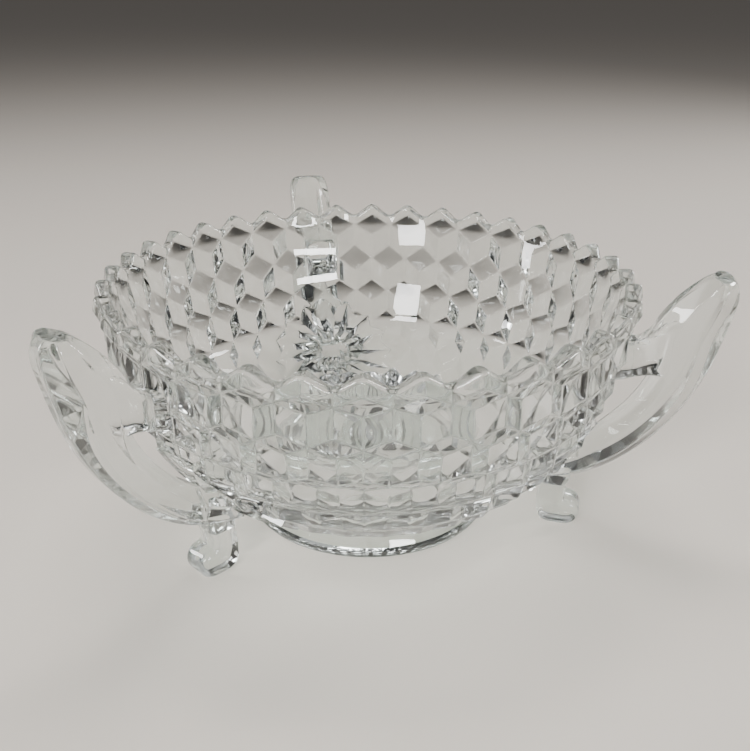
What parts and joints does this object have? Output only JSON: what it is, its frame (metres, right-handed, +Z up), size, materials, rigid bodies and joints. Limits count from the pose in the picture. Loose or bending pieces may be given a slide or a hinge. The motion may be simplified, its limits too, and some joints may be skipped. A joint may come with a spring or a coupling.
{
  "type": "footed glass bowl",
  "caption": "Round pressed glass bowl with cube relief outside, a zigzag rim, a foot ring and bevelled strap handles that end in small toes.",
  "frame": {"origin": "centre of the foot ring's underside, on the bowl's axis", "axes": "+Z up along the bowl's axis, +Y towards the back handle"},
  "size_m": [0.2304, 0.2316, 0.1056],
  "materials": {
    "clear_glass": "clear pressed glass, fire polished"
  },
  "bodies": {
    "root": {"rim_crown": "clear_glass", "bowl_wall": "clear_glass", "base_plate": "clear_glass", "foot_ring": "clear_glass", "handle_back": "clear_glass", "strut_back": "clear_glass", "toe_back": "clear_glass", "handle_left": "clear_glass", "strut_left": "clear_glass", "toe_left": "clear_glass", "handle_right": "clear_glass", "strut_right": "clear_glass", "toe_right": "clear_glass"}
  },
  "joints": []
}
